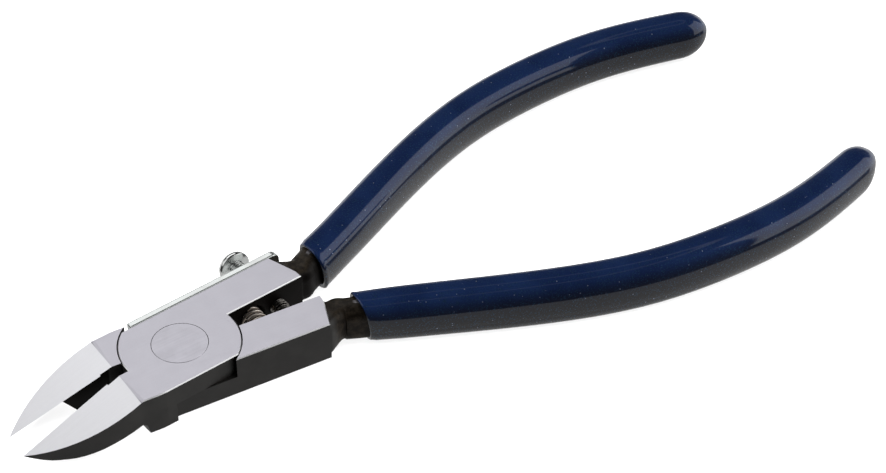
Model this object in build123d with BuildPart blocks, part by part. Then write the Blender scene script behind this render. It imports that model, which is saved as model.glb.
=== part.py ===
"""Hand nippers for mosaic glass: two forged lap-jointed halves, a flush pivot rivet, a return
spring, an opening stopper and dipped grips.

Frame: +X points to the handle ends, +Y to handle A, +Z up. The origin is on the pivot axis, on the
underside of the head. Lengths are in millimetres. The halves are drawn in the closed tool and
stand turned apart by half_open each, which is the relaxed pose of the return spring.
"""
from build123d import *
from math import cos, radians, sin, sqrt
import os

os.makedirs("parts", exist_ok=True)

# Driving dimensions -------------------------------------------------------------------------

half_open = 4.6          # turn of each half away from the closed tool, degrees

head_thickness = 7.2
head_half_width = 7.6
disc_radius = 9.5        # lap layer round the pivot
shoulder_clearance = 0.12
lap_clearance = 0.02     # from the middle plane to each lap face
edge_break = 0.15        # chamfer on the head's long edges

rivet_radius = 3.3
rivet_head_radius = 4.45
rivet_land = 0.5         # straight rim of the flush rivet head
rivet_cone = 1.15        # depth of the countersunk part under the rim
rivet_edge = 0.1
pivot_clearance = 0.04

root_gap = 0.82          # from the mating plane to a handle root's inner face
root_rear = 23.6
root_rear_outer = 22.0
root_rear_corner = 2.2   # distance from the mating plane where the slanted rear face starts

notch_depth = 0.3        # relief between the disc and the start of the cutting edge
edge_start = -13.2
jaw_ridge = -11.1        # where the flat head face turns down into the jaw face
jaw_slope = 0.36         # drop of the jaw face per millimetre towards the tip
jaw_tip = -28.55
jaw_half_width = 7.1
jaw_side_radius = 23.0
jaw_side_start = -12.0
jaw_shoulder = -7.6      # where the head's side starts to come in towards the jaw
jaw_step = -10.6         # where the underside of the head steps up to the jaw
jaw_root_lift = 2.45     # height of the jaw's underside at that step
jaw_step_run = (0.45, 1.1)   # how far the slanted step leans to its middle and to its top
jaw_step_middle = 1.9
jaw_belly = [(-18.4, 0.75), (-24.4, 0.06), (-31, 0.9)]   # arc of the underside towards the tip
bevel_start = -19.6      # where the ground bevel reaches the cutting edge
bevel_slope = 0.68       # rise of the bevel towards the cutting edge
bevel_run, bevel_fall = 1.7, 2.25   # length and depth of its steep end
bevel_margin = 1.0       # how far the bevel's cut reaches past the cutting edge
bevel_cut_width, bevel_cut_depth, bevel_cut_length = 9, 12, 14   # size of that cut, past the jaw

neck_width, neck_height, neck_round = 5.0, 6.35, 1.7
neck_x, neck_y = 25.0, 3.65
neck_turn = 0.12         # sideways run of the neck's section direction per millimetre along it
# Sections of the flare between root and neck: distance behind the root's slanted rear face, width,
# height and corner radius.
flare_sections = [(-0.3, 6.7, 6.9, 0.9), (0.6, 6.3, 6.6, 1.8)]

grip_start = 28.5        # place of the dip line at mid height
grip_start_lean = 0.14   # how far the dip line leans towards the handle end per millimetre down
grip_wall = 0.8
grip_round = 0.44        # corner radius of a section as a share of its width
grip_cap = 5.5           # length of the rounded end
tang_cap = 4.6

spring_x = 14.1
spring_radius = 2.0      # outside
spring_wire = 0.62       # diameter
spring_turns = 11
spring_pocket_radius = 2.35
spring_pocket_depth = 3.5
spring_end_play = 0.05

plate_thickness = 1.3
plate_rear = 24.2
plate_rear_round = 1.4   # radius of its rear corners in side elevation
plate_end = -3.9         # the end that stops the other half's jaw shoulder
plate_body_start = 10.5  # behind this the plate covers the full height of the root
plate_step = 2.5         # length of the slanted step between the arm and the body of the plate
plate_low = 3.2          # below the middle plane
plate_arm_low = 0.15     # above the middle plane: the arm passes over the other half's lap layer
plate_high = 3.55
plate_end_round = 0.2
plate_edge_round = 0.3

screw_x = 18.9
screw_z = 3.3            # a little below mid height
screw_radius = 1.5
screw_hole_radius = 1.6
screw_head_radius = 2.7
screw_head_height = 2.0
screw_head_round = 0.62   # rounding of the head as a share of its height
screw_stand_out = 1.5    # threaded end past the root's inner face
screw_head_gap = 3.6     # shank between the plate and the head
screw_end_chamfer = 0.3
recess_width, recess_depth, recess_reach, recess_taper = 0.75, 1.2, 1.5, 9

middle = head_thickness / 2
far = 40.0               # longer than any cut

# Centre line of a handle in the closed tool, from the neck to the end of the grip.
handle_route = [(26.2, 4.1), (41, 9.5), (56.5, 15.2), (72, 19.2), (87, 20.1), (102, 18.6), (121.9, 12.3)]
handle_start_direction = (1, 0.33)
handle_end_direction = (1, -0.36)

# Share of the way to the cap, width in the plane of the tool and height of the grip.
grip_stations = [
    (0.0, 6.4, 8.4), (0.16, 6.6, 8.9), (0.34, 6.6, 9.3), (0.52, 6.5, 9.5),
    (0.70, 6.7, 9.3), (0.86, 6.7, 9.0), (1.0, 6.5, 8.7),
]
cap_steps = [0, 0.3, 0.55, 0.75, 0.9, 0.985]


# Frames of the halves -------------------------------------------------------------------------

class HalfFrame:
    """Directions and planes of one half. In the closed tool, +x is along it and +y points from
    the mating plane to the half's own handle."""

    def __init__(self, side):
        turn = radians(half_open)
        self.side = side
        self.along = Vector(cos(turn), side * sin(turn), 0)
        self.across = Vector(-sin(turn), side * cos(turn), 0)

    def point(self, x, y, z):
        return self.along * x + self.across * y + Vector(0, 0, z)

    def plan(self):
        """Plan plane with the lap layer on top: half B is drawn upside down."""
        base = 0 if self.side > 0 else head_thickness
        return Plane(origin=(0, 0, base), x_dir=self.along, z_dir=(0, 0, self.side))

    def profile(self):
        """Side elevation beside the tool: local x along it, local y up, the tool in front."""
        normal = self.along.cross(Vector(0, 0, 1))
        return Plane(origin=normal * (-far / 2), x_dir=self.along, z_dir=normal)

    def bore(self, x, y, z=middle):
        """Upright plane whose normal points away from the mating plane. On half A its local y
        points down."""
        return Plane(origin=self.point(x, y, z), x_dir=self.along, z_dir=self.across)


frame_a = HalfFrame(1)
frame_b = HalfFrame(-1)


# Handle sections --------------------------------------------------------------------------------

def section_plane(origin, direction):
    """Plane square to a level direction: local x across the handle, local y along the height."""
    level = Vector(direction.X, direction.Y, 0).normalized()
    return Plane(origin=origin, x_dir=(level.Y, -level.X, 0), z_dir=level)


def handle_line(frame):
    """Centre line of one handle."""
    with BuildLine() as line:
        Spline([frame.point(x, y, middle) for x, y in handle_route],
               tangents=[frame.point(*handle_start_direction, 0), frame.point(*handle_end_direction, 0)])
    return line.edge()


def handle_sections(frame, inset):
    """Plane, width, height and corner radius of each section up to the cap."""
    line = handle_line(frame)
    cap_share = 1 - grip_cap / line.length
    for share, width, height in grip_stations:
        place = share * cap_share
        plane = section_plane(line @ place, line % place)
        yield plane, width - 2 * inset, height - 2 * inset, grip_round * (width - 2 * inset)


def cap_sections(frame, inset, length):
    """The same for the rounded end, whose sections shrink along an ellipse."""
    line = handle_line(frame)
    start = 1 - grip_cap / line.length
    _, width, height = grip_stations[-1]
    for step in cap_steps:
        place = start + step * length / line.length
        shrink = sqrt(1 - step ** 2)
        plane = section_plane(line @ place, line % place)
        section_width = (width - 2 * inset) * shrink
        yield plane, section_width, (height - 2 * inset) * shrink, grip_round * section_width


# Sketches of the forged halves --------------------------------------------------------------------

def side_drop(x):
    """How far the jaw's outer side has come in at x."""
    return jaw_side_radius - sqrt(jaw_side_radius ** 2 - (x - jaw_side_start) ** 2)


def half_plan():
    """Outline of one half without its neck: handle root, disc and jaw."""
    side_x = sqrt(disc_radius ** 2 - head_half_width ** 2)
    mid_x = (jaw_tip + jaw_side_start) / 2
    with BuildSketch() as plan:
        Circle(disc_radius)
        Rectangle(far, 2 * head_half_width, mode=Mode.INTERSECT)
        with BuildLine():
            Polyline((0, root_gap), (root_rear, root_gap), (root_rear, root_rear_corner),
                     (root_rear_outer, head_half_width), (-side_x, head_half_width), close=True)
        make_face()
        with BuildLine():
            Polyline((jaw_tip, side_drop(jaw_tip) - jaw_half_width), (jaw_tip, 0), (edge_start, 0),
                     (edge_start, -notch_depth), (0, -notch_depth), (0, -head_half_width),
                     (jaw_shoulder, -head_half_width))
            Spline((jaw_shoulder, -head_half_width), (jaw_side_start, -jaw_half_width),
                   tangents=[(-1, 0), (-1, 0)])
            ThreePointArc((jaw_side_start, -jaw_half_width), (mid_x, side_drop(mid_x) - jaw_half_width),
                          (jaw_tip, side_drop(jaw_tip) - jaw_half_width))
        make_face()
    return plan.sketch


def rivet_section(clearance):
    """Half section of the rivet or, with a clearance, of the hole it turns in."""
    low_cone = rivet_land + rivet_cone
    head = rivet_head_radius + clearance
    shank = rivet_radius + clearance
    with BuildSketch(Plane.XZ) as section:
        with BuildLine():
            Polyline((0, 0), (head, 0), (head, rivet_land), (shank, low_cone),
                     (shank, head_thickness - low_cone), (head, head_thickness - rivet_land),
                     (head, head_thickness), (0, head_thickness), close=True)
        make_face()
    return section.sketch


def space_over_jaw():
    """Space over the jaw face in side elevation."""
    fall = jaw_slope * (far + jaw_ridge)
    with BuildSketch() as space:
        with BuildLine():
            Polyline((jaw_ridge, head_thickness), (jaw_ridge, far), (-far, far),
                     (-far, head_thickness - fall), close=True)
        make_face()
    return space.sketch


def space_under_jaw():
    """Space under the jaw in side elevation: a step up at the head, then a long fall to the tip."""
    with BuildSketch() as space:
        with BuildLine():
            Polyline(jaw_belly[-1], (jaw_belly[-1][0], -far / 2), (jaw_step, -far / 2), (jaw_step, 0),
                     (jaw_step - jaw_step_run[0], jaw_step_middle),
                     (jaw_step - jaw_step_run[1], jaw_root_lift), jaw_belly[0])
            ThreePointArc(*jaw_belly)
        make_face()
    return space.sketch


# Forged halves -----------------------------------------------------------------------------------

def make_bevel_space(frame):
    """Space that the ground bevel leaves under the cutting edge, with its steep end."""
    up = Vector(0, 0, 1)
    outward = frame.across * -1
    edge_height = head_thickness - jaw_slope * (jaw_ridge - bevel_start)
    origin = frame.point(bevel_start, 0, edge_height)
    steep = frame.along * bevel_run - up * bevel_fall
    with BuildPart() as space:
        with BuildSketch(Plane(origin=origin, x_dir=outward, z_dir=outward.cross(up))):
            with BuildLine():
                Polyline((0, 0), (bevel_cut_width, -bevel_cut_width * bevel_slope),
                         (bevel_cut_width, -bevel_cut_depth), (-bevel_margin, -bevel_cut_depth),
                         (-bevel_margin, 0), close=True)
            make_face()
        extrude(amount=bevel_cut_length, dir=frame.along + up * jaw_slope, both=True)
        split(bisect_by=Plane(origin=origin, x_dir=frame.across,
                              z_dir=frame.across.cross(steep) * frame.side))
    return space.part


def make_half(frame, hole_clearance):
    """One forged half with its lap joint, jaw, neck and tang."""
    with BuildPart() as half:
        with BuildSketch(frame.plan()):
            add(half_plan())
        extrude(amount=head_thickness)
        level_faces = half.faces().filter_by(Axis.Z)
        long_edges = level_faces.edges().filter_by(lambda edge: frame.along.dot(edge.center()) > jaw_step)
        chamfer(long_edges, edge_break)

        # Room for the other half's lap layer.
        with BuildSketch(frame.plan()):
            Circle(disc_radius + shoulder_clearance)
        extrude(amount=middle + lap_clearance, mode=Mode.SUBTRACT)

        # Jaw: face, underside and bevel.
        with BuildSketch(frame.profile()):
            add(space_over_jaw())
        extrude(amount=far, mode=Mode.SUBTRACT)
        with BuildSketch(frame.profile()):
            add(space_under_jaw())
        extrude(amount=far, mode=Mode.SUBTRACT)
        add(make_bevel_space(frame), mode=Mode.SUBTRACT)

        # Neck behind the root. Its sides sweep in from the root and out again to the tang.
        sections = list(handle_sections(frame, grip_wall))
        rear_run, rear_rise = root_rear - root_rear_outer, head_half_width - root_gap
        rear_middle = frame.point(root_rear - rear_run / 2, root_gap + rear_rise / 2, middle)
        rear_plane = section_plane(rear_middle, frame.point(rear_rise, rear_run, 0))
        neck_sections = [(rear_plane.offset(distance), *size) for distance, *size in flare_sections]
        neck_sections += [
            (section_plane(frame.point(neck_x, neck_y, middle), frame.point(1, neck_turn, 0)),
             neck_width, neck_height, neck_round),
            sections[0],
        ]
        for plane, width, height, corner in neck_sections:
            with BuildSketch(plane):
                RectangleRounded(width, height, corner)
        loft()

        # Tang, which ends in a rounded cap inside the grip.
        for plane, width, height, corner in sections:
            with BuildSketch(plane):
                RectangleRounded(width, height, corner)
        loft()
        for plane, width, height, corner in cap_sections(frame, grip_wall, tang_cap):
            with BuildSketch(plane):
                RectangleRounded(width, height, corner)
        loft()

        # Pivot hole.
        add(rivet_section(hole_clearance))
        revolve(axis=Axis.Z, mode=Mode.SUBTRACT)

        # Pocket for the end of the spring.
        with BuildSketch(frame.bore(spring_x, root_gap)):
            Circle(spring_pocket_radius)
        extrude(amount=spring_pocket_depth, mode=Mode.SUBTRACT)
    return half.part


with BuildPart() as jaw_handle_a:
    add(make_half(frame_a, 0))
    with BuildSketch(frame_a.bore(screw_x, 0, screw_z)):
        Circle(screw_radius)
    extrude(amount=far, mode=Mode.SUBTRACT)

with BuildPart() as jaw_handle_b:
    add(make_half(frame_b, pivot_clearance))


# Pivot rivet -------------------------------------------------------------------------------------

with BuildPart() as pivot_rivet:
    add(rivet_section(0))
    revolve(axis=Axis.Z)
    chamfer(pivot_rivet.edges().group_by(Axis.Z)[0] + pivot_rivet.edges().group_by(Axis.Z)[-1], rivet_edge)


# Dipped grips ------------------------------------------------------------------------------------

def make_grip(frame):
    """Vinyl sleeve that follows the handle and closes round its end."""
    with BuildPart() as grip:
        for plane, width, height, corner in handle_sections(frame, 0):
            with BuildSketch(plane):
                RectangleRounded(width, height, corner)
        loft()
        for plane, width, height, corner in cap_sections(frame, 0, grip_cap):
            with BuildSketch(plane):
                RectangleRounded(width, height, corner)
        loft()
        for plane, width, height, corner in handle_sections(frame, grip_wall):
            with BuildSketch(plane):
                RectangleRounded(width, height, corner)
        loft(mode=Mode.SUBTRACT)
        for plane, width, height, corner in cap_sections(frame, grip_wall, tang_cap):
            with BuildSketch(plane):
                RectangleRounded(width, height, corner)
        loft(mode=Mode.SUBTRACT)
        split(bisect_by=Plane(origin=frame.point(grip_start, 0, middle),
                              z_dir=frame.along + Vector(0, 0, grip_start_lean)))
    return grip.part


with BuildPart() as grip_a:
    add(make_grip(frame_a))

with BuildPart() as grip_b:
    add(make_grip(frame_b))


# Return spring -----------------------------------------------------------------------------------

pocket_floor = frame_a.point(spring_x, root_gap + spring_pocket_depth, middle)
spring_reach = pocket_floor.Y - spring_end_play - spring_wire / 2
with BuildPart() as return_spring:
    with BuildLine() as coil_line:
        Helix(pitch=2 * spring_reach / spring_turns, height=2 * spring_reach,
              radius=spring_radius - spring_wire / 2, center=(pocket_floor.X, -spring_reach, middle),
              direction=(0, 1, 0))
    with BuildSketch(Plane(origin=coil_line.line @ 0, z_dir=coil_line.line % 0)):
        Circle(spring_wire / 2)
    sweep(is_frenet=True)


# Stopper plate and its screw ---------------------------------------------------------------------

def plate_elevation():
    """Side elevation of the stopper plate, with its height counted down from mid height."""
    with BuildSketch() as elevation:
        with BuildLine():
            Polyline((plate_end, -plate_arm_low), (plate_body_start - plate_step, -plate_arm_low),
                     (plate_body_start, plate_low), (plate_rear, plate_low), (plate_rear, -plate_high),
                     (plate_end, -plate_high), close=True)
        make_face()
        fillet(elevation.vertices().sort_by(Axis.X)[-2:], plate_rear_round)
    return elevation.sketch


with BuildPart() as stopper_plate:
    with BuildSketch(frame_a.bore(0, head_half_width)):
        add(plate_elevation())
    extrude(amount=plate_thickness)
    end_corner = frame_a.point(plate_end, head_half_width + plate_thickness, middle)
    fillet(stopper_plate.edges().filter_by(Axis.Z).sort_by_distance(end_corner)[0], plate_end_round)
    long_edges = stopper_plate.edges().filter_by(lambda edge: edge.length > plate_body_start)
    fillet(long_edges, plate_edge_round)
    with BuildSketch(frame_a.bore(screw_x, 0, screw_z)):
        Circle(screw_hole_radius)
    extrude(amount=far, mode=Mode.SUBTRACT)

head_base = head_half_width + plate_thickness + screw_head_gap
with BuildPart() as stopper_screw:
    with BuildSketch(frame_a.bore(screw_x, root_gap - screw_stand_out, screw_z)):
        Circle(screw_radius)
    extrude(amount=head_base - root_gap + screw_stand_out)
    chamfer(stopper_screw.edges().sort_by_distance((0, 0, middle))[0], screw_end_chamfer)
    with BuildSketch(frame_a.bore(screw_x, head_base, screw_z)):
        Circle(screw_head_radius)
    extrude(amount=screw_head_height)
    rim = stopper_screw.edges().filter_by(GeomType.CIRCLE).sort_by_distance(
        frame_a.point(screw_x, far, middle))[0]
    fillet(rim, screw_head_round * screw_head_height)
    for turn in (0, 90):
        with BuildSketch(frame_a.bore(screw_x, head_base + screw_head_height, screw_z).rotated((0, 0, turn))):
            Rectangle(2 * recess_reach, recess_width)
        extrude(amount=-recess_depth, taper=recess_taper, mode=Mode.SUBTRACT)


pieces = {
    "jaw_handle_a": jaw_handle_a,
    "jaw_handle_b": jaw_handle_b,
    "pivot_rivet": pivot_rivet,
    "grip_a": grip_a,
    "grip_b": grip_b,
    "return_spring": return_spring,
    "stopper_plate": stopper_plate,
    "stopper_screw": stopper_screw,
}
for name, piece in pieces.items():
    piece.part.label = name
    export_step(piece.part, f"parts/{name}.step")
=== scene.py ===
"""Studio scene of the glass nippers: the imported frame, detailed grips, spring and screw, and materials.

Lengths are in metres, in the frame of the CAD model: +X to the handle ends, +Y to handle A, +Z up,
with the origin on the pivot axis on the underside of the head.
"""
from math import cos, pi, radians, sin, sqrt

import bmesh
import bpy
import numpy as np
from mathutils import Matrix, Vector


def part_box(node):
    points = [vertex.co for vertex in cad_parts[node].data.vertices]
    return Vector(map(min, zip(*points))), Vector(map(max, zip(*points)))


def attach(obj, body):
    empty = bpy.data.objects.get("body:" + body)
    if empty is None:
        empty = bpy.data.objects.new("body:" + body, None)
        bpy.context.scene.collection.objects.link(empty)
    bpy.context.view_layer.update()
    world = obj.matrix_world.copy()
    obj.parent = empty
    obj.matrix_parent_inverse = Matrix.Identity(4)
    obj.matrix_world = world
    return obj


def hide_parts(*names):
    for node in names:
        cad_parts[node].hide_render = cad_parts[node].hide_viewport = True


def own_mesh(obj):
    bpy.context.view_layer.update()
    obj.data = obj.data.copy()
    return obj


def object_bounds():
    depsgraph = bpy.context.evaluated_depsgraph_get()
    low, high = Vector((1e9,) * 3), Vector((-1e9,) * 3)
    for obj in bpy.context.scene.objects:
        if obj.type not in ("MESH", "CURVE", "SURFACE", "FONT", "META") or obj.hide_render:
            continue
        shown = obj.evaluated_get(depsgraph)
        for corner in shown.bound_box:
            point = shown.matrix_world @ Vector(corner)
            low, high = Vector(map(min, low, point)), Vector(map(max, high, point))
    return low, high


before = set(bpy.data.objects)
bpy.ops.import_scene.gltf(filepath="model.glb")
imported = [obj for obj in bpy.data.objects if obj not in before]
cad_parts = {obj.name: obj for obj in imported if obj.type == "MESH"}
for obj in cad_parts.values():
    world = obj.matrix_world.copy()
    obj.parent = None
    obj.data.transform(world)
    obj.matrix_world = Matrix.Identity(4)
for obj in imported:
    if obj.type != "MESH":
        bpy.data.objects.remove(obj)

cad_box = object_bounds()

MM = 0.001

# Driving dimensions, as in the CAD model ------------------------------------------------------

HALF_OPEN = radians(4.6)         # turn of each half away from the closed tool
HEAD_THICKNESS = 7.2 * MM
EDGE_BREAK = 0.15 * MM
ROOT_GAP = 0.82 * MM
ROOT_REAR = 23.6 * MM
RIDGE = -11.1 * MM

GRIP_START = 28.5 * MM
GRIP_START_LEAN = 0.14
GRIP_WALL = 0.8 * MM
GRIP_CAP = 5.5 * MM
HANDLE_ROUTE = [(26.2, 4.1), (41, 9.5), (56.5, 15.2), (72, 19.2), (87, 20.1), (102, 18.6), (121.9, 12.3)]
HANDLE_START_DIRECTION = (1, 0.33)
HANDLE_END_DIRECTION = (1, -0.36)
# Share of the handle's length, width in the plane of the tool and height.
GRIP_STATIONS = [
    (0.0, 6.4, 8.4), (0.16, 6.6, 8.9), (0.34, 6.6, 9.3), (0.52, 6.5, 9.5),
    (0.70, 6.7, 9.3), (0.86, 6.7, 9.0), (1.0, 6.5, 8.7),
]

SPRING_RADIUS = 2.0 * MM
SPRING_WIRE = 0.52 * MM

SCREW_X = 18.9 * MM
SCREW_Z = 3.3 * MM
HEAD_HALF_WIDTH = 7.6 * MM
PLATE_THICKNESS = 1.3 * MM
SCREW_RADIUS = 1.45 * MM
SCREW_CORE = 1.15 * MM
SCREW_PITCH = 0.5 * MM
SCREW_STAND_OUT = 1.5 * MM
SCREW_HEAD_GAP = 3.6 * MM
SCREW_HEAD_RADIUS = 2.7 * MM
SCREW_HEAD_HEIGHT = 2.0 * MM

MIDDLE = HEAD_THICKNESS / 2


# Frames of the halves ---------------------------------------------------------------------------

class Half:
    """Directions of one half: along the closed tool, and across it to the half's own handle."""

    def __init__(self, side):
        self.side = side
        self.along = Vector((cos(HALF_OPEN), side * sin(HALF_OPEN), 0))
        self.across = Vector((-sin(HALF_OPEN), side * cos(HALF_OPEN), 0))

    def point(self, x, y, z=0.0):
        return self.along * x + self.across * y + Vector((0, 0, z))


HALF_A = Half(1)
HALF_B = Half(-1)


# Node helpers -----------------------------------------------------------------------------------

class Nodes:
    """Short calls for building the node tree of a material or a world."""

    def __init__(self, owner):
        owner.use_nodes = True
        self.owner = owner
        self.tree = owner.node_tree

    def new(self, kind, **values):
        node = self.tree.nodes.new(kind)
        for name, value in values.items():
            setattr(node, name, value)
        return node

    def join(self, source, target):
        self.tree.links.new(source, target)

    def put(self, value, socket):
        """A number or colour is set on the socket, and an output is linked to it."""
        if isinstance(value, bpy.types.NodeSocket):
            self.join(value, socket)
        else:
            socket.default_value = value

    def math(self, operation, a, b=0.0, c=0.0):
        node = self.new("ShaderNodeMath", operation=operation)
        for value, socket in zip((a, b, c), node.inputs):
            self.put(value, socket)
        return node.outputs[0]

    def ramp(self, value, low, high, start=0.0, end=1.0, smooth=True):
        """Value from low to high mapped to start to end and held outside."""
        node = self.new("ShaderNodeMapRange")
        node.interpolation_type = "SMOOTHSTEP" if smooth else "LINEAR"
        for item, socket in zip((value, low, high, start, end), node.inputs):
            self.put(item, socket)
        return node.outputs[0]

    def mix(self, share, a, b):
        """Colour a at share 0 and b at share 1."""
        node = self.new("ShaderNodeMix", data_type="RGBA")
        self.put(share, node.inputs[0])
        self.put(a, node.inputs[6])
        self.put(b, node.inputs[7])
        return node.outputs[2]

    def scaled(self, colour, factor):
        node = self.new("ShaderNodeVectorMath", operation="SCALE")
        self.join(colour, node.inputs[0])
        self.put(factor, node.inputs["Scale"])
        return node.outputs[0]

    def object_point(self, scale=(1, 1, 1), turn=(0, 0, 0)):
        place = self.new("ShaderNodeTexCoord")
        mapping = self.new("ShaderNodeMapping")
        mapping.inputs["Scale"].default_value = scale
        mapping.inputs["Rotation"].default_value = turn
        self.join(place.outputs["Object"], mapping.inputs["Vector"])
        return mapping.outputs[0]

    def split(self, vector):
        node = self.new("ShaderNodeSeparateXYZ")
        self.join(vector, node.inputs[0])
        return node.outputs

    def noise(self, point, scale, detail=3.0, roughness=0.5):
        node = self.new("ShaderNodeTexNoise")
        self.join(point, node.inputs["Vector"])
        node.inputs["Scale"].default_value = scale
        node.inputs["Detail"].default_value = detail
        node.inputs["Roughness"].default_value = roughness
        return node.outputs[0]

    def bump(self, height, strength, distance, normal=None):
        node = self.new("ShaderNodeBump")
        self.put(height, node.inputs["Height"])
        self.put(strength, node.inputs["Strength"])
        node.inputs["Distance"].default_value = distance
        if normal is not None:
            self.join(normal, node.inputs["Normal"])
        return node.outputs[0]

    def set(self, **values):
        """Inputs of the Principled shader, by name with _ for a space."""
        shader = self.tree.nodes["Principled BSDF"]
        for name, value in values.items():
            self.put(value, shader.inputs[name.replace("_", " ")])
        return self.owner


# Materials ----------------------------------------------------------------------------------------

def forged_material(name, half):
    """One forged half: ground satin head, brighter jaw faces, dark oxide sides and a rough neck, with
    painted highlights on the broken edges and painted shade on the faces towards the other half.
    """
    n = Nodes(bpy.data.materials.new(name))
    normal = n.split(n.new("ShaderNodeNewGeometry").outputs["Normal"])
    upright = n.math("ABSOLUTE", normal[2])
    x, y, z = n.split(n.object_point())
    height = n.math("ABSOLUTE", n.math("SUBTRACT", z, MIDDLE))

    # The mask of ground metal: level faces at the head's two surfaces, their broken edges and the
    # sloping jaw faces. Everything else keeps the dark oxide of the forging.
    level = n.ramp(upright, 0.60, 0.66, smooth=False)
    at_surface = n.ramp(height, MIDDLE - EDGE_BREAK - 0.02 * MM, MIDDLE - EDGE_BREAK, smooth=False)
    in_jaw = n.math("MULTIPLY", n.ramp(x, RIDGE + 0.3 * MM, RIDGE, smooth=False),
                    n.ramp(upright, 0.86, 0.90, smooth=False))
    ground = n.math("MAXIMUM", n.math("MULTIPLY", level, at_surface), in_jaw)
    # Painted highlight: a mask of the broken edges at the head's surfaces, which get a near-white colour
    # for the highlight lines along them.
    edge_painted_highlight = n.math("MULTIPLY", n.math("MULTIPLY", level, at_surface),
                  n.ramp(upright, 0.80, 0.75, smooth=False))

    # Grinding marks run across the head. The jaw faces are finer.
    marks = n.noise(n.object_point((120, 2600, 400), (0, 0, half.side * HALF_OPEN)), 1.0, 2.0, 0.6)
    clouds = n.noise(n.object_point(), 420.0, 4.0, 0.6)
    jaw_share = n.ramp(x, RIDGE + 0.05 * MM, RIDGE - 0.05 * MM, smooth=False)
    depth = n.ramp(jaw_share, 0, 1, 0.018, 0.010)
    unevenness = n.math("ADD", n.ramp(marks, 0.3, 0.7, -1, 1), n.ramp(clouds, 0.3, 0.7, -1, 1))
    tone = n.math("MULTIPLY", depth, unevenness)
    steel = n.mix(jaw_share, (0.52, 0.51, 0.56, 1), (0.80, 0.80, 0.83, 1))
    # Painted highlight: the broken edges are coloured near-white.
    steel = n.mix(edge_painted_highlight, steel, (0.95, 0.95, 0.96, 1))
    steel = n.scaled(steel, n.math("ADD", 1.0, tone))

    # The oxide is smooth on the root and coarse on the neck.
    neck_share = n.ramp(x, ROOT_REAR - 2.2 * MM, ROOT_REAR, smooth=True)
    scale_noise = n.noise(n.object_point(), 900.0, 6.0, 0.65)
    blotches = n.noise(n.object_point(), 260.0, 3.0, 0.5)
    root_colour = n.mix(n.ramp(blotches, 0.35, 0.65), (0.027, 0.025, 0.023, 1), (0.037, 0.035, 0.032, 1))
    neck_colour = n.mix(n.ramp(scale_noise, 0.35, 0.7), (0.014, 0.009, 0.005, 1), (0.062, 0.047, 0.031, 1))
    oxide = n.mix(neck_share, root_colour, neck_colour)
    # Painted shade: the faces towards the other half, at the roots and at the jaws, are painted near-black
    # for the shade in the gap between the halves.
    root_or_jaw = n.math("SUBTRACT", n.ramp(x, 4 * MM, 6 * MM), n.ramp(x, RIDGE, RIDGE - MM))
    gap_painted_shade = n.math("MULTIPLY", normal[1], n.math("MULTIPLY", root_or_jaw, -half.side))
    gap_painted_shade = n.ramp(gap_painted_shade, 0.35, 0.85)
    oxide = n.mix(gap_painted_shade, oxide, (0.005, 0.003, 0.002, 1))

    fine = n.bump(marks, n.math("MULTIPLY", ground, n.ramp(jaw_share, 0, 1, 0.10, 0.03)), 0.02 * MM)
    coarse = n.bump(scale_noise, n.ramp(n.math("MULTIPLY", neck_share, n.math("SUBTRACT", 1.0, ground)),
                                        0, 1, 0.04, 0.55), 0.12 * MM, fine)
    roughness = n.math("ADD", n.ramp(ground, 0, 1, 0.50, 0.34), n.math("MULTIPLY", tone, 0.8))
    # The specular is lower on the faces with painted shade, and on the neck.
    dull = n.math("MAXIMUM", gap_painted_shade, n.math("MULTIPLY", neck_share, 0.7))
    return n.set(Base_Color=n.mix(ground, oxide, steel), Metallic=ground, Roughness=roughness,
                 Normal=coarse, Specular_IOR_Level=n.ramp(dull, 0, 1, 0.5, 0.12))


def rivet_material():
    n = Nodes(bpy.data.materials.new("ground_rivet"))
    marks = n.noise(n.object_point((120, 2600, 400)), 1.0, 2.0, 0.6)
    clouds = n.noise(n.object_point(), 420.0, 4.0, 0.6)
    normal = n.new("ShaderNodeNewGeometry").outputs["Normal"]
    upright = n.math("ABSOLUTE", n.split(normal)[2])
    face = n.ramp(upright, 0.9, 0.95, smooth=False)
    tone = n.ramp(n.math("ADD", marks, clouds), 0.6, 1.4, 0.0, 1.0)
    steel = n.mix(tone, (0.48, 0.47, 0.52, 1), (0.54, 0.53, 0.58, 1))
    colour = n.mix(face, (0.44, 0.43, 0.47, 1), steel)
    return n.set(Base_Color=colour, Metallic=1.0, Roughness=n.ramp(clouds, 0.3, 0.7, 0.31, 0.37),
                 Normal=n.bump(marks, 0.10, 0.02 * MM))


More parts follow.
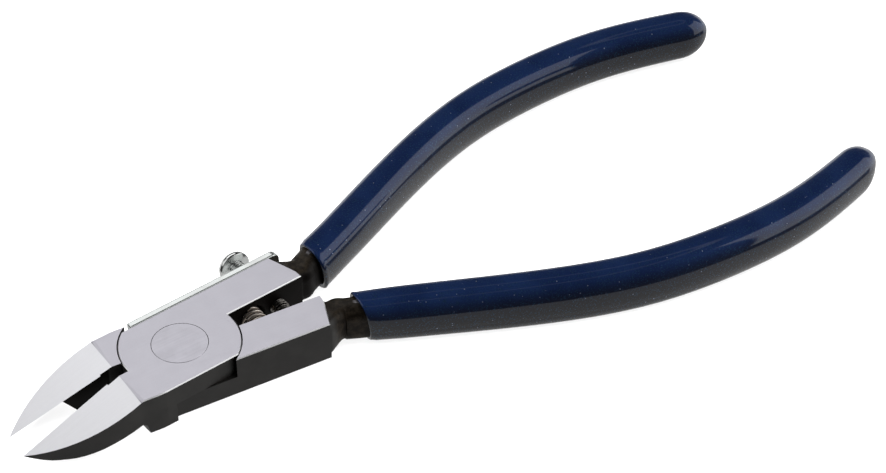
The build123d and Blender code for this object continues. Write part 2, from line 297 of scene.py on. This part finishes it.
def vinyl_material():
    """Clear-coated navy vinyl full of fine metallic flakes, with painted shade: its colour darkens to near
    black on the faces turned down.
    """
    n = Nodes(bpy.data.materials.new("metallic_vinyl"))
    point = n.object_point()
    upward = n.split(n.new("ShaderNodeTexCoord").outputs["Normal"])[2]
    # Painted shade: faces turned up get the navy, faces turned down a near-black colour.
    lit_top_share = n.ramp(upward, -0.10, 0.70)
    flakes = n.new("ShaderNodeTexVoronoi")
    n.join(point, flakes.inputs["Vector"])
    flakes.inputs["Scale"].default_value = 6500.0
    tint = n.split(flakes.outputs["Color"])
    bright = n.ramp(tint[0], 0.80, 1.0)
    rare = n.new("ShaderNodeTexVoronoi")
    n.join(point, rare.inputs["Vector"])
    rare.inputs["Scale"].default_value = 2600.0
    spark = n.math("MULTIPLY", n.ramp(n.split(rare.outputs["Color"])[1], 0.975, 0.99),
                   n.ramp(rare.outputs["Distance"], 0.35, 0.2))
    depth = n.noise(point, 160.0, 3.0, 0.5)
    upper = n.mix(n.ramp(depth, 0.35, 0.65), (0.008, 0.024, 0.098, 1), (0.012, 0.034, 0.125, 1))
    base = n.mix(lit_top_share, (0.007, 0.007, 0.012, 1), upper)
    base = n.mix(n.math("MULTIPLY", bright, 0.40), base, (0.05, 0.15, 0.28, 1))
    base = n.mix(n.math("MULTIPLY", spark, 0.7), base, (0.45, 0.52, 0.72, 1))
    grain = n.bump(tint[2], 0.30, 0.03 * MM)
    skin = n.bump(n.noise(point, 330.0, 2.0, 0.4), 0.05, 0.2 * MM)
    metal = n.ramp(n.math("MAXIMUM", bright, spark), 0, 1, 0.40, 0.85)
    return n.set(Base_Color=base, Metallic=metal, Roughness=0.45, Specular_IOR_Level=0.1, Normal=grain,
                 Coat_Weight=1.0, Coat_Roughness=0.03, Coat_IOR=1.5, Coat_Normal=skin)


def spring_material():
    n = Nodes(bpy.data.materials.new("spring_steel"))
    drawn = n.noise(n.object_point(), 1500.0, 2.0, 0.5)
    colour = n.mix(drawn, (0.60, 0.52, 0.45, 1), (0.78, 0.72, 0.66, 1))
    return n.set(Base_Color=colour, Metallic=1.0, Roughness=n.ramp(drawn, 0.3, 0.7, 0.26, 0.34))


def zinc_material():
    n = Nodes(bpy.data.materials.new("zinc_plating"))
    cloud = n.noise(n.object_point(), 500.0, 4.0, 0.6)
    rolled = n.noise(n.object_point((140, 1, 2200)), 1.0, 2.0, 0.5)
    colour = n.mix(n.ramp(cloud, 0.35, 0.65), (0.66, 0.69, 0.68, 1), (0.74, 0.76, 0.75, 1))
    return n.set(Base_Color=colour, Metallic=1.0, Roughness=n.ramp(cloud, 0.3, 0.7, 0.22, 0.34),
                 Normal=n.bump(rolled, 0.12, 0.03 * MM))


def screw_material():
    """Bright nickel at the head; the far end, standing in the gap between the roots, is painted near-black
    as painted shade.
    """
    n = Nodes(bpy.data.materials.new("nickel_plating"))
    point = n.object_point()
    cloud = n.noise(point, 900.0, 3.0, 0.5)
    outside_painted_shade = n.ramp(n.split(point)[1], ROOT_GAP + 1.0 * MM, HEAD_HALF_WIDTH)
    bright = n.mix(n.ramp(cloud, 0.35, 0.65), (0.70, 0.72, 0.71, 1), (0.80, 0.81, 0.80, 1))
    # Painted shade: the screw's far end, in the gap between the halves, gets a near-black colour.
    colour = n.mix(outside_painted_shade, (0.16, 0.15, 0.14, 1), bright)
    return n.set(Base_Color=colour, Metallic=1.0, Roughness=n.ramp(cloud, 0.3, 0.7, 0.12, 0.20),
                 Normal=n.bump(cloud, 0.05, 0.03 * MM))


def floor_material():
    n = Nodes(bpy.data.materials.new("pale_floor"))
    speckle = n.noise(n.object_point(), 60.0, 3.0, 0.5)
    colour = n.mix(speckle, (0.90, 0.90, 0.90, 1), (0.93, 0.93, 0.93, 1))
    return n.set(Base_Color=colour, Roughness=0.8)


# Mesh helpers -------------------------------------------------------------------------------------

def make_object(name, points, faces, material):
    mesh = bpy.data.meshes.new(name)
    mesh.from_pydata([tuple(p) for p in points], [], faces)
    mesh.validate()
    for polygon in mesh.polygons:
        polygon.use_smooth = True
    mesh.materials.append(material)
    piece = bpy.data.objects.new(name, mesh)
    bpy.context.scene.collection.objects.link(piece)
    return piece


def ring_faces(rings, count, close_start=False, close_end=False):
    """Quads between rings of count points each, with fans at closed ends."""
    faces = []
    for i in range(rings - 1):
        for j in range(count):
            k = (j + 1) % count
            faces.append((i * count + j, i * count + k, (i + 1) * count + k, (i + 1) * count + j))
    if close_start:
        faces.append(tuple(reversed(range(count))))
    if close_end:
        faces.append(tuple((rings - 1) * count + j for j in range(count)))
    return faces


def orient(piece):
    """Turns every face's normal outwards."""
    mesh = bmesh.new()
    mesh.from_mesh(piece.data)
    bmesh.ops.recalc_face_normals(mesh, faces=mesh.faces)
    mesh.to_mesh(piece.data)
    mesh.free()


def smooth_step(t):
    t = min(max(t, 0.0), 1.0)
    return t * t * (3 - 2 * t)


# Grips ----------------------------------------------------------------------------------------------

def clamped_spline(points, start, end):
    """Cubic spline through points, with end directions: its place and direction over chord length."""
    p = np.array(points, float)
    h = np.linalg.norm(np.diff(p, axis=0), axis=1)
    knots = np.concatenate([[0], np.cumsum(h)])
    count = len(p)
    matrix = np.zeros((count, count))
    right = np.zeros_like(p)
    matrix[0, 0] = matrix[-1, -1] = 1
    right[0] = np.array(start) / np.linalg.norm(start)
    right[-1] = np.array(end) / np.linalg.norm(end)
    for i in range(1, count - 1):
        matrix[i, i - 1:i + 2] = 1 / h[i - 1], 2 / h[i - 1] + 2 / h[i], 1 / h[i]
        right[i] = 3 * ((p[i] - p[i - 1]) / h[i - 1] ** 2 + (p[i + 1] - p[i]) / h[i] ** 2)
    slopes = np.linalg.solve(matrix, right)

    def at(u):
        i = int(np.clip(np.searchsorted(knots, u, side="right") - 1, 0, count - 2))
        t = (u - knots[i]) / h[i]
        a, b, da, db = p[i], p[i + 1], slopes[i] * h[i], slopes[i + 1] * h[i]
        place = ((2 * t**3 - 3 * t**2 + 1) * a + (t**3 - 2 * t**2 + t) * da
                 + (3 * t**2 - 2 * t**3) * b + (t**3 - t**2) * db)
        slope = ((6 * t**2 - 6 * t) * (a - b) + (3 * t**2 - 4 * t + 1) * da
                 + (3 * t**2 - 2 * t) * db) / h[i]
        return place, slope / np.linalg.norm(slope)

    return at, knots[-1]


LINE, LINE_LENGTH = clamped_spline(
    np.array(HANDLE_ROUTE) * MM, HANDLE_START_DIRECTION, HANDLE_END_DIRECTION)
SECTION_POWER = 2.5       # squareness of a grip's section
SECTION_POINTS = 72
GRIP_RINGS = 150
LIP_RADIUS = 0.42 * MM
LIP_RINGS = 7
LIP_TUCK = 0.02 * MM      # how far the lip's inner end is off the sleeve's inner wall
MOUTH_DEPTH = 1.6 * MM    # how far the inner wall shows inside the mouth
BODY_MARGIN = 0.6 * MM    # from the lip to the first ring of the body
RIM_TURN = 9 * MM         # stretch over which the rings turn from the rim's lean to square
CAP_STEPS = 15
START_STEPS = 4000        # steps of the search for the grip's start along the handle
SIZE_DEGREE = 4


def smooth_fit(places, values):
    """Smooth curve of one value over place, by a least-squares polynomial."""
    return np.polynomial.Polynomial.fit(places, values, SIZE_DEGREE)


def grip_size(share):
    """Width and height of the grip at a share of the way to the cap."""
    shares, widths, heights = zip(*GRIP_STATIONS)
    fit_width = smooth_fit(shares, widths)
    fit_height = smooth_fit(shares, heights)
    return fit_width(share) * MM, fit_height(share) * MM


def section_point(angle, width, height):
    """Point of a rounded, slightly crowned section at an angle from its local x."""
    c, s = cos(angle), sin(angle)
    reach = (abs(c) ** SECTION_POWER + abs(s) ** SECTION_POWER) ** (-1 / SECTION_POWER)
    return reach * c * width / 2, reach * s * height / 2


def make_grip(name, half, material):
    """Dipped sleeve round one handle: rounded lip, swept body and domed end."""
    at = LINE
    cap_start = LINE_LENGTH - GRIP_CAP
    start = next(u for u in np.linspace(0, LINE_LENGTH, START_STEPS) if at(u)[0][0] >= GRIP_START)
    angles = [2 * pi * j / SECTION_POINTS for j in range(SECTION_POINTS)]
    points = []

    def add_ring(u, shrink, inset, forward):
        """One ring at u. The rim leans like the dip line, and later rings turn square to the handle."""
        place, way = at(u)
        turn = smooth_step((u - start) / RIM_TURN)
        level = np.array([1.0, 0.0]) * (1 - turn) + way * turn
        level /= np.linalg.norm(level)
        side = np.array([-level[1], level[0]])
        stretch = 1 / (level @ way)
        width, height = grip_size(min(u / cap_start, 1.0))
        ring_width = (width - 2 * inset) * shrink * stretch
        ring_height = (height - 2 * inset) * shrink
        for angle in angles:
            across, up = section_point(angle, ring_width, ring_height)
            spot = place + side * across + level * (forward - GRIP_START_LEAN * up * (1 - turn))
            points.append(half.point(spot[0], spot[1], MIDDLE + up))

    # Inside of the mouth, then the rounded lip, from the inner wall to the outer one.
    add_ring(start, 1.0, GRIP_WALL + LIP_TUCK, MOUTH_DEPTH)
    for i in range(LIP_RINGS):
        angle = pi * i / (LIP_RINGS - 1)
        inset = LIP_RADIUS * (1 + cos(angle)) - LIP_TUCK * (1 - i / (LIP_RINGS - 1))
        add_ring(start, 1.0, inset, LIP_RADIUS * (1 - sin(angle)))
    for u in np.linspace(start + LIP_RADIUS + BODY_MARGIN, cap_start, GRIP_RINGS):
        add_ring(u, 1.0, 0.0, 0.0)
    for step in np.sin(np.linspace(0, pi / 2, CAP_STEPS))[1:-1]:
        add_ring(cap_start + step * GRIP_CAP, sqrt(1 - step**2), 0.0, 0.0)
    rings = len(points) // SECTION_POINTS
    faces = ring_faces(rings, SECTION_POINTS)
    tip, _ = at(LINE_LENGTH)
    points.append(half.point(tip[0], tip[1], MIDDLE))
    last = (rings - 1) * SECTION_POINTS
    faces += [(last + j, last + (j + 1) % SECTION_POINTS, len(points) - 1) for j in range(SECTION_POINTS)]
    piece = make_object(name, points, faces, material)
    orient(piece)
    return piece


# Return spring --------------------------------------------------------------------------------------

SPRING_TURNS = 11
WIRE_POINTS = 14
TURN_POINTS = 40


def make_spring(material):
    """Compression spring, a plain helix along Y between the two roots' pockets."""
    low, high = (Vector(corner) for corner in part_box("return_spring"))
    centre = (low + high) / 2
    reach = (high[1] - low[1]) / 2 - SPRING_WIRE / 2
    radius = SPRING_RADIUS - SPRING_WIRE / 2
    steps = SPRING_TURNS * TURN_POINTS
    points = []
    for i in range(steps + 1):
        t = i / steps
        angle = 2 * pi * SPRING_TURNS * t
        y = centre.y - reach + 2 * reach * t
        out = Vector((cos(angle), 0, sin(angle)))
        line = Vector((centre.x, y, centre.z)) + out * radius
        for j in range(WIRE_POINTS):
            a = 2 * pi * j / WIRE_POINTS
            wire_out, wire_along = cos(a) * SPRING_WIRE / 2, sin(a) * SPRING_WIRE / 2
            points.append(line + out * wire_out + Vector((0, wire_along, 0)))
    faces = ring_faces(steps + 1, WIRE_POINTS, True, True)
    piece = make_object("return_spring_coil", points, faces, material)
    orient(piece)
    return piece, Vector((centre.x, high.y, centre.z))


# Stopper screw --------------------------------------------------------------------------------------

THREAD_POINTS = 64
THREAD_RINGS = 230
RECESS_HALF_WIDTH = 0.42 * MM
RECESS_REACH = 1.55 * MM
RECESS_DEPTH = 1.3 * MM
RECESS_SIDE_EDGE = 0.18 * MM      # width of the rounding along the recess's arms
RECESS_END_EDGE = 0.30 * MM       # and at their ends
RECESS_TURN = pi / 5              # turn of the cross about the screw
THREAD_SHARPNESS = 1.15           # slope of a thread's flanks
THREAD_END_DROP = 0.15 * MM       # how far the thread's faded start is below its core
POINT_CORES = (0.55, 0.80)        # rings of the flat point, as shares of the core
RIM_HEIGHT = 0.55 * MM
RIM_INSET = 0.12 * MM             # of the ring where the head meets its underside
CROWN_STEPS = 56
CROWN_SPACING = 0.9               # crowds the crown's rings towards its rim
CROWN_SQUARENESS, CROWN_ROUNDNESS = 2.6, 0.62
WELD_DISTANCE = 1e-7


def make_screw(material):
    """Pan-head screw along half A's across direction: cross recess, dome, and a threaded shank."""
    base = HEAD_HALF_WIDTH + PLATE_THICKNESS + SCREW_HEAD_GAP
    shank_end = ROOT_GAP - SCREW_STAND_OUT
    origin = HALF_A.point(SCREW_X, 0, SCREW_Z)
    up = Vector((0, 0, 1))
    angles = [2 * pi * j / THREAD_POINTS for j in range(THREAD_POINTS)]
    points = []

    def add_ring(along_screw, radius_at):
        for angle in angles:
            radius = radius_at(angle)
            points.append(origin + HALF_A.across * along_screw
                          + HALF_A.along * (radius * cos(angle)) + up * (radius * sin(angle)))

    def thread(s):
        """Radius of the thread at s along the screw, fading in over its first turn."""
        fade = smooth_step((s - shank_end) / SCREW_PITCH)

        def radius_at(angle):
            phase = (s / SCREW_PITCH - angle / (2 * pi)) % 1.0
            crest = smooth_step(1 - abs(2 * phase - 1) * THREAD_SHARPNESS)
            return SCREW_CORE + (SCREW_RADIUS - SCREW_CORE) * crest * fade - THREAD_END_DROP * (1 - fade)
        return radius_at

    inner, outer = POINT_CORES
    add_ring(shank_end, lambda angle: inner * SCREW_CORE)
    add_ring(shank_end, lambda angle: outer * SCREW_CORE)
    for s in np.linspace(shank_end + 0.02 * MM, base - 0.05 * MM, THREAD_RINGS):
        add_ring(s, thread(s))
    add_ring(base, lambda angle: SCREW_RADIUS)
    add_ring(base + 0.01 * MM, lambda angle: SCREW_HEAD_RADIUS - RIM_INSET)
    add_ring(base + 0.10 * MM, lambda angle: SCREW_HEAD_RADIUS)

    # Dome: a short rim, then a rounded crown, sunk where the cross recess is.
    crown = SCREW_HEAD_HEIGHT - RIM_HEIGHT
    for i in range(CROWN_STEPS + 1):
        t = i / CROWN_STEPS
        radius = SCREW_HEAD_RADIUS * (1 - t) ** CROWN_SPACING if t < 1 else 0.0
        share = radius / SCREW_HEAD_RADIUS
        level = RIM_HEIGHT + crown * (1 - share**CROWN_SQUARENESS) ** CROWN_ROUNDNESS
        for angle in angles:
            across_x = radius * cos(angle + RECESS_TURN)
            across_y = radius * sin(angle + RECESS_TURN)
            arm = min(abs(across_x), abs(across_y))
            reach = max(abs(across_x), abs(across_y))
            sunk = smooth_step((RECESS_HALF_WIDTH - arm) / RECESS_SIDE_EDGE + 0.5)
            sunk *= smooth_step((RECESS_REACH - reach) / RECESS_END_EDGE + 0.5)
            points.append(origin + HALF_A.across * (base + level - RECESS_DEPTH * sunk)
                          + HALF_A.along * (radius * cos(angle)) + up * (radius * sin(angle)))
    rings = len(points) // THREAD_POINTS
    faces = ring_faces(rings, THREAD_POINTS, close_start=True)
    piece = make_object("stopper_screw_threaded", points, faces, material)
    mesh = bmesh.new()
    mesh.from_mesh(piece.data)
    bmesh.ops.remove_doubles(mesh, verts=mesh.verts, dist=WELD_DISTANCE)
    mesh.to_mesh(piece.data)
    mesh.free()
    orient(piece)
    return piece


# The assembly ---------------------------------------------------------------------------------------

def assign(node, material):
    """Gives a CAD node its material."""
    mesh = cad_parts[node].data
    mesh.materials.clear()
    mesh.materials.append(material)


assign("jaw_handle_a", forged_material("forged_steel_a", HALF_A))
assign("jaw_handle_b", forged_material("forged_steel_b", HALF_B))
assign("pivot_rivet", rivet_material())
assign("stopper_plate", zinc_material())

vinyl = vinyl_material()
for letter, half in (("a", HALF_A), ("b", HALF_B)):
    grip = make_grip(f"dipped_grip_{letter}", half, vinyl)
    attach(grip, f"half_{letter}")
    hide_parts(f"grip_{letter}")

# The squeeze follows the size of the joint's angle, so the coil also shortens when the tool opens
# past rest, where a real one would lengthen, and its far end leaves the floor of its pocket.
spring, spring_anchor = make_spring(spring_material())
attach(spring, "half_a")
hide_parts("return_spring")
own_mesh(spring)

screw = make_screw(screw_material())
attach(screw, "half_a")
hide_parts("stopper_screw")


# Stage: floor, light and camera -----------------------------------------------------------------------

FLOOR_SIZE = 3.0
FLOOR_HEIGHT = cad_box[0][2]


def make_floor():
    half_size = FLOOR_SIZE / 2
    signs = [(-1, -1), (1, -1), (1, 1), (-1, 1)]
    corners = [Vector((x * half_size, y * half_size, FLOOR_HEIGHT)) for x, y in signs]
    floor = make_object("floor", corners, [(0, 1, 2, 3)], floor_material())
    # The panels of the studio stand in for the floor's own light on the tool.
    floor.visible_diffuse = floor.visible_glossy = floor.visible_shadow = False
    return floor


def make_softbox(name, place, target, width, height, power):
    light = bpy.data.lights.new(name, "AREA")
    light.shape = "RECTANGLE"
    light.size = width
    light.size_y = height
    light.energy = power
    holder = bpy.data.objects.new(name, light)
    holder.location = place
    holder.rotation_mode = "QUATERNION"
    holder.rotation_quaternion = (Vector(target) - Vector(place)).to_track_quat("-Z", "Y")
    bpy.context.scene.collection.objects.link(holder)
    return holder


def only_on(light, pieces, shadowless=False):
    """The light shines on these pieces alone, and when shadowless nothing else shades them."""
    lit = bpy.data.collections.new(light.name + "_lit")
    for piece in pieces:
        lit.objects.link(piece)
    light.light_linking.receiver_collection = lit
    if shadowless:
        light.light_linking.blocker_collection = lit


# Panels of the studio round the tool: middle and half width of the azimuth from +X towards +Y, lowest
# and highest elevation, all in degrees, and brightness. The rest of the studio is dark.
STUDIO_PANELS = [
    (0, 180, -90, -64, 0.40),     # table close under the tool
    (0, 180, -64, -28, 0.56),     # pale table
    (170, 45, 12, 55, 0.9),       # pale panel past the jaws
    (-33, 27, -18, 36, 1.1),      # tall panel on the right
    (56, 75, -28, 4, 0.9),        # pale wall behind
    (0, 180, 60, 63, 0.45),       # thin ring overhead
]
STUDIO_DARK = 0.04
PANEL_SOFTNESS = 2.0


def make_world():
    n = Nodes(bpy.data.worlds.new("studio"))
    direction = n.split(n.new("ShaderNodeTexCoord").outputs["Generated"])
    azimuth = n.math("DEGREES", n.math("ARCTAN2", direction[1], direction[0]))
    elevation = n.math("DEGREES", n.math("ARCSINE", direction[2]))
    brightness = STUDIO_DARK
    for middle, half_width, lowest, highest, level in STUDIO_PANELS:
        aside = n.math("ABSOLUTE", n.math("SUBTRACT", azimuth, middle))
        mask = n.math("MULTIPLY", n.ramp(elevation, lowest, lowest + PANEL_SOFTNESS),
                      n.ramp(elevation, highest + PANEL_SOFTNESS, highest))
        if half_width < 180:
            mask = n.math("MULTIPLY", mask, n.ramp(aside, half_width + PANEL_SOFTNESS, half_width))
        brightness = n.math("MAXIMUM", brightness, n.math("MULTIPLY", mask, level))
    background = n.tree.nodes["Background"]
    n.put((1, 1, 1, 1), background.inputs["Color"])
    n.put(brightness, background.inputs["Strength"])
    bpy.context.scene.world = n.owner


CAMERA_PLACE = (-0.1198, -0.2491, 0.2662)
CAMERA_AZIMUTH = radians(34.05)      # from +Y towards +X
CAMERA_TILT = radians(40.97)         # below the horizon
CAMERA_LENS = 100.1


def make_camera():
    camera = bpy.data.cameras.new("camera")
    camera.lens = CAMERA_LENS
    camera.sensor_width = 36.0
    camera.clip_start, camera.clip_end = 0.01, 10.0
    holder = bpy.data.objects.new("camera", camera)
    holder.location = CAMERA_PLACE
    level = cos(CAMERA_TILT)
    look = Vector((sin(CAMERA_AZIMUTH) * level, cos(CAMERA_AZIMUTH) * level, -sin(CAMERA_TILT)))
    holder.rotation_mode = "QUATERNION"
    holder.rotation_quaternion = look.to_track_quat("-Z", "Y")
    bpy.context.scene.collection.objects.link(holder)
    bpy.context.scene.camera = holder


# Softboxes: name, place, the point they face, width, height and power in watts. The first list lights
# the floor, and the second one the steel pieces.
FLOOR_LIGHTS = [
    ("floor_wash", (0.0, 0.0, 1.2), (0.03, 0, 0), 2.0, 2.0, 42),
    ("floor_soft", (0.0, 0.0, 1.2), (0.03, 0, 0), 1.5, 1.5, 8),
]
STEEL_LIGHTS = [
    ("back_softbox", (0.13, 0.75, 0.85), (0.03, 0, 0), 1.1, 0.6, 2.8),
    ("front_softbox", (0.45, -0.65, 0.64), (0.0, 0, 0), 0.5, 0.4, 0.5),
    ("right_softbox", (0.95, -0.38, 0.45), (0.05, 0, 0), 0.7, 0.5, 1.0),
]
GRIP_LIGHT = ("grip_key", (0.0, 0.0, 1.1), (0.03, 0, 0), 0.5, 0.5, 9)
STEEL_NODES = ("jaw_handle_a", "jaw_handle_b", "pivot_rivet", "stopper_plate")

floor_pieces = [make_floor()]
make_world()
steel_pieces = [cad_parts[name] for name in STEEL_NODES] + [spring, screw]
grip_pieces = [bpy.data.objects["dipped_grip_a"], bpy.data.objects["dipped_grip_b"]]
for row in FLOOR_LIGHTS:
    only_on(make_softbox(*row), floor_pieces, shadowless=row[0] == "floor_wash")
for row in STEEL_LIGHTS:
    only_on(make_softbox(*row), steel_pieces)
grip_key = make_softbox(*GRIP_LIGHT)
grip_key.visible_glossy = False
only_on(grip_key, grip_pieces)
make_camera()
bpy.context.scene.view_settings.view_transform = "Standard"

bpy.context.view_layer.update()
